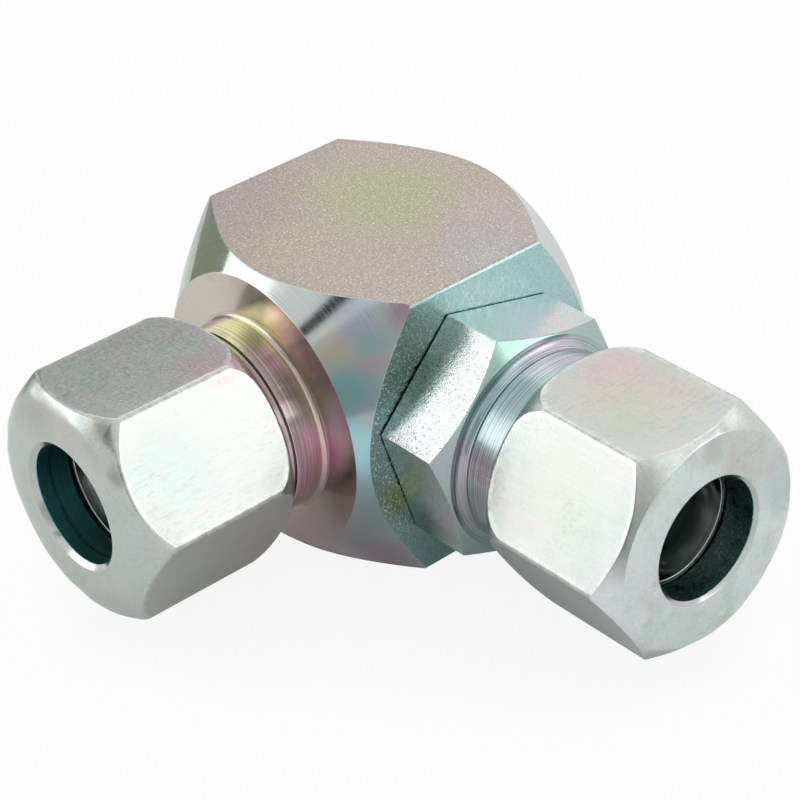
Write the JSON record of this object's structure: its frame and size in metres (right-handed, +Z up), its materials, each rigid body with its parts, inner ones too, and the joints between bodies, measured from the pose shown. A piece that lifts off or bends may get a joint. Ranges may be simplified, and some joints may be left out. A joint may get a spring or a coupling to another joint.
{
  "type": "banjo fitting",
  "caption": "Swivelling tube elbow: a square turned body with a fixed cone port and, at right angles, a ball-raced swivel port, each with its union nut and cutting ring.",
  "frame": {"origin": "middle of the square body's bottom flat, under the crossing of the two port axes", "axes": "+X out of the swivel port, -Y out of the fixed port, +Z up from the bottom flat"},
  "size_m": [0.0522, 0.0451, 0.026],
  "materials": {
    "zinc_body": "zinc plated with a faintly iridescent passivation, blasted flats and turned ends",
    "zinc_stem": "zinc plated with a faintly iridescent passivation, turned",
    "zinc_nut": "zinc plated with a clear passivation, smooth drawn flats",
    "ring_steel": "zinc plated, fine turned",
    "ball_steel": "hardened and polished",
    "plug_steel": "hardened and ground",
    "screw_steel": "black oxide",
    "nitrile_rubber": "matt moulded rubber",
    "ptfe": "waxy white plastic"
  },
  "bodies": {
    "root": {"elbow_body": "zinc_body", "ball_race_plug": "plug_steel", "plug_set_screw": "screw_steel", "dust_wiper": "nitrile_rubber"},
    "stem": {"swivel_stem": "zinc_stem", "stem_seal_ring": "nitrile_rubber", "stem_backup_ring": "ptfe", "tail_guide_ring": "ptfe"},
    "balls": {"bearing_balls": "ball_steel"},
    "fixed_ring": {"cutting_ring_left": "ring_steel"},
    "fixed_nut": {"union_nut_left": "zinc_nut"},
    "swivel_ring": {"cutting_ring_right": "ring_steel"},
    "swivel_nut": {"union_nut_right": "zinc_nut"}
  },
  "joints": [
    {"name": "stem_spin", "type": "hinge", "parent": "root", "child": "stem", "pos_m": [0, 0, 0.013], "axis": [1, 0, 0], "continuous": true},
    {"name": "ball_row_spin", "type": "hinge", "parent": "root", "child": "balls", "pos_m": [0, 0, 0.013], "axis": [1, 0, 0], "continuous": true},
    {"name": "fixed_ring_travel", "type": "slide", "parent": "root", "child": "fixed_ring", "axis": [0, -1, 0], "range_m": [0, 0.0068]},
    {"name": "fixed_nut_turn", "type": "hinge", "parent": "fixed_ring", "child": "fixed_nut", "pos_m": [0, -0.0321, 0.013], "axis": [0, -1, 0], "range_deg": [0, 1620]},
    {"name": "swivel_ring_travel", "type": "slide", "parent": "stem", "child": "swivel_ring", "axis": [1, 0, 0], "range_m": [0, 0.0068]},
    {"name": "swivel_nut_turn", "type": "hinge", "parent": "swivel_ring", "child": "swivel_nut", "pos_m": [0.0392, 0, 0.013], "axis": [1, 0, 0], "range_deg": [0, 1620]}
  ],
  "couplings": [
    {"joint": "ball_row_spin", "follows": "stem_spin", "ratio": 0.43201},
    {"joint": "fixed_ring_travel", "follows": "fixed_nut_turn", "m_per_rad": 0.00023873},
    {"joint": "swivel_ring_travel", "follows": "swivel_nut_turn", "m_per_rad": 0.00023873}
  ]
}
